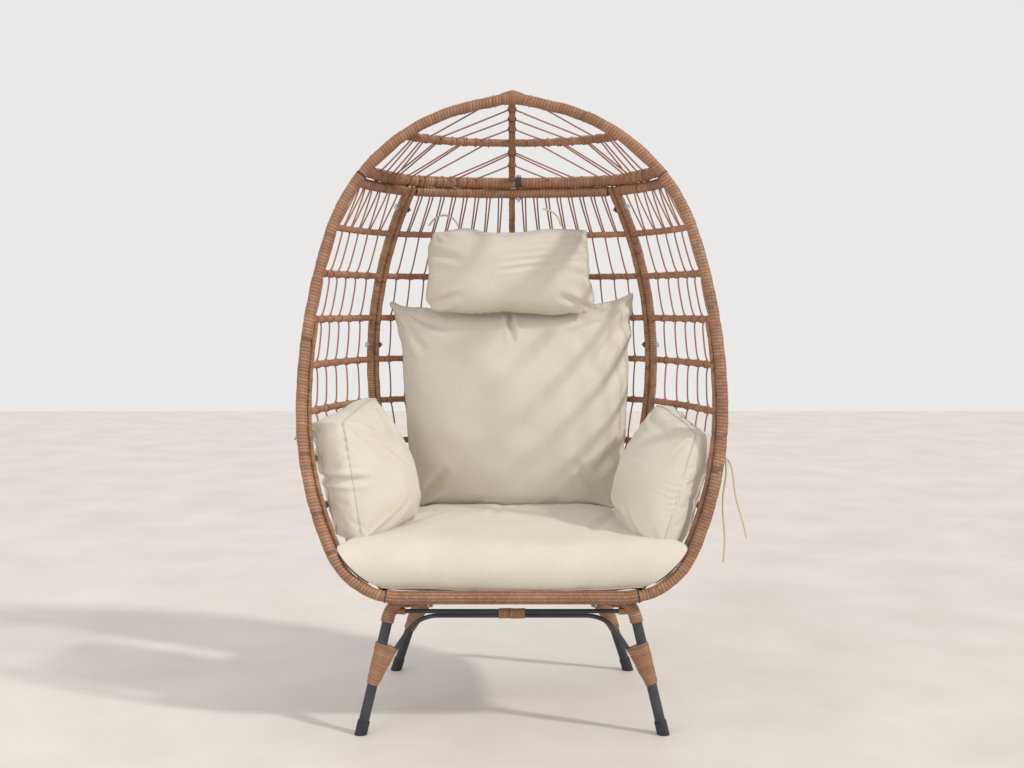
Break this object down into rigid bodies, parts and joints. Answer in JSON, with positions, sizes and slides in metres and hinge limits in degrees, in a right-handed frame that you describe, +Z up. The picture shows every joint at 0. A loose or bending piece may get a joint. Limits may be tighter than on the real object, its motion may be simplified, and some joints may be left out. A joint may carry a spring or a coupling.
{
  "type": "egg chair",
  "caption": "Free-standing egg-shaped lounge chair of rattan-wrapped steel panels on a four-legged stand, with seat, back, head and side cushions.",
  "frame": {"origin": "on the floor, below the middle of the chair's outline from above", "axes": "+Z up, +X to the sitter's left when seated (the right of someone facing the chair), -Y towards the open front"},
  "size_m": [1.0518, 0.6788, 1.4876],
  "materials": {
    "wrap_rattan": "wound flat synthetic rattan, warm brown with lighter and darker streaks",
    "strand": "thin round synthetic rattan, reddish brown, satin",
    "black_steel": "powder-coated black, satin",
    "bolt_steel": "zinc-plated",
    "foot_rubber": "black rubber",
    "strap_webbing": "woven elastic webbing",
    "cushion_cover": "cream plain-weave polyester over fibre filling",
    "tie_tape": "cream cotton tape"
  },
  "bodies": {
    "root": {"back_cushion": "cushion_cover", "back_rails": "wrap_rattan", "back_rib": "wrap_rattan", "back_strands": "strand", "back_top_beam": "wrap_rattan", "crown_clip": "black_steel", "crown_rail": "wrap_rattan", "crown_rib": "wrap_rattan", "crown_rim": "wrap_rattan", "crown_ring_beam": "wrap_rattan", "crown_strands": "strand", "crown_tip": "wrap_rattan", "front_arch_brace": "black_steel", "front_beam": "wrap_rattan", "front_centre_wrap": "wrap_rattan", "front_corner_wraps": "wrap_rattan", "front_knee_wraps": "wrap_rattan", "front_left_foot_cap": "foot_rubber", "front_leg_frame": "black_steel", "front_right_foot_cap": "foot_rubber", "front_stretcher": "black_steel", "head_pillow": "cushion_cover", "head_tie_left": "tie_tape", "head_tie_right": "tie_tape", "left_back_post": "wrap_rattan", "left_inner_rim": "wrap_rattan", "left_pillow": "cushion_cover", "left_rails": "wrap_rattan", "left_rim": "wrap_rattan", "left_side_post": "wrap_rattan", "left_strands": "strand", "left_tie": "tie_tape", "left_top_beam": "wrap_rattan", "lower_joint_plates": "black_steel", "panel_bolts": "bolt_steel", "panel_nuts": "bolt_steel", "rear_arch_brace": "black_steel", "rear_centre_wrap": "wrap_rattan", "rear_corner_wraps": "wrap_rattan", "rear_knee_wraps": "wrap_rattan", "rear_left_foot_cap": "foot_rubber", "rear_leg_frame": "black_steel", "rear_right_foot_cap": "foot_rubber", "rear_stretcher": "black_steel", "right_back_post": "wrap_rattan", "right_inner_rim": "wrap_rattan", "right_pillow": "cushion_cover", "right_rails": "wrap_rattan", "right_rim": "wrap_rattan", "right_side_post": "wrap_rattan", "right_strands": "strand", "right_tie_long": "tie_tape", "right_tie_short": "tie_tape", "right_top_beam": "wrap_rattan", "seat_bars": "black_steel", "seat_cushion": "cushion_cover", "seat_ring": "black_steel", "seat_straps": "strap_webbing", "stand_bolts": "bolt_steel", "upper_joint_plates": "black_steel"}
  },
  "joints": []
}
